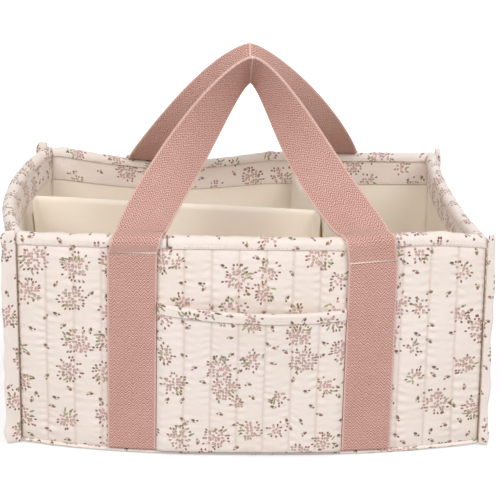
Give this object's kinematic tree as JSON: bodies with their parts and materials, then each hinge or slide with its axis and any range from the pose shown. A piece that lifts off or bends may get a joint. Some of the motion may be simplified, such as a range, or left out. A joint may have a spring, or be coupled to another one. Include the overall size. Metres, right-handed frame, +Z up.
{
  "type": "diaper caddy",
  "caption": "Quilted fabric nursery caddy: open bin with outer pockets, two webbing carry handles and movable padded dividers that make compartments.",
  "frame": {"origin": "centre of the flat floor panel's underside, under the crossing of the seam lines' middles", "axes": "+X to the caddy's right along its length, -Y out of the front pocket, +Z up"},
  "size_m": [0.4235, 0.3055, 0.3159],
  "materials": {
    "print_cloth": "quilted cotton print",
    "ivory_cloth": "plain weave lining",
    "rose_webbing": "twill cotton webbing",
    "hook_tape": "short hooks",
    "stiff_board": "matte sheet"
  },
  "bodies": {
    "caddy": {"front_panel": "print_cloth", "front_board": "stiff_board", "front_lining": "ivory_cloth", "front_facing": "print_cloth", "front_rim_binding": "print_cloth", "front_base_binding": "print_cloth", "back_panel": "print_cloth", "back_board": "stiff_board", "back_lining": "ivory_cloth", "back_facing": "print_cloth", "back_rim_binding": "print_cloth", "back_base_binding": "print_cloth", "left_panel": "print_cloth", "left_board": "stiff_board", "left_lining": "ivory_cloth", "left_facing": "print_cloth", "left_rim_binding": "print_cloth", "left_base_binding": "print_cloth", "right_panel": "print_cloth", "right_board": "stiff_board", "right_lining": "ivory_cloth", "right_facing": "print_cloth", "right_rim_binding": "print_cloth", "right_base_binding": "print_cloth", "front_left_corner_binding": "print_cloth", "front_right_corner_binding": "print_cloth", "back_left_corner_binding": "print_cloth", "back_right_corner_binding": "print_cloth", "base_panel": "print_cloth", "base_board": "stiff_board", "base_lining": "ivory_cloth", "front_pocket": "print_cloth", "front_pocket_hem": "print_cloth", "front_left_handle_leg": "rose_webbing", "front_right_handle_leg": "rose_webbing", "back_pocket": "print_cloth", "back_pocket_hem": "print_cloth", "back_left_handle_leg": "rose_webbing", "back_right_handle_leg": "rose_webbing"},
    "front_handle": {"front_handle_loop": "rose_webbing"},
    "back_handle": {"back_handle_loop": "rose_webbing"},
    "long_divider": {"long_divider_cover": "ivory_cloth", "long_divider_board": "stiff_board", "long_divider_left_hook_tape": "hook_tape", "long_divider_right_hook_tape": "hook_tape"},
    "cross_divider": {"cross_divider_cover": "ivory_cloth", "cross_divider_board": "stiff_board", "cross_divider_back_hook_tape": "hook_tape", "cross_divider_front_hook_tape": "hook_tape"}
  },
  "joints": [
    {"name": "front_handle_swing", "type": "hinge", "parent": "caddy", "child": "front_handle", "pos_m": [0, -0.1411, 0.1692], "axis": [1, 0, 0], "range_deg": [0, 170]},
    {"name": "back_handle_swing", "type": "hinge", "parent": "caddy", "child": "back_handle", "pos_m": [0, 0.1328, 0.1678], "axis": [-1, 0, 0], "range_deg": [0, 170]},
    {"name": "long_divider_lift", "type": "slide", "parent": "caddy", "child": "long_divider", "axis": [0, 0, 1], "range_m": [0, 0.105]},
    {"name": "cross_divider_lift", "type": "slide", "parent": "caddy", "child": "cross_divider", "axis": [0, 0, 1], "range_m": [0, 0.02]}
  ]
}
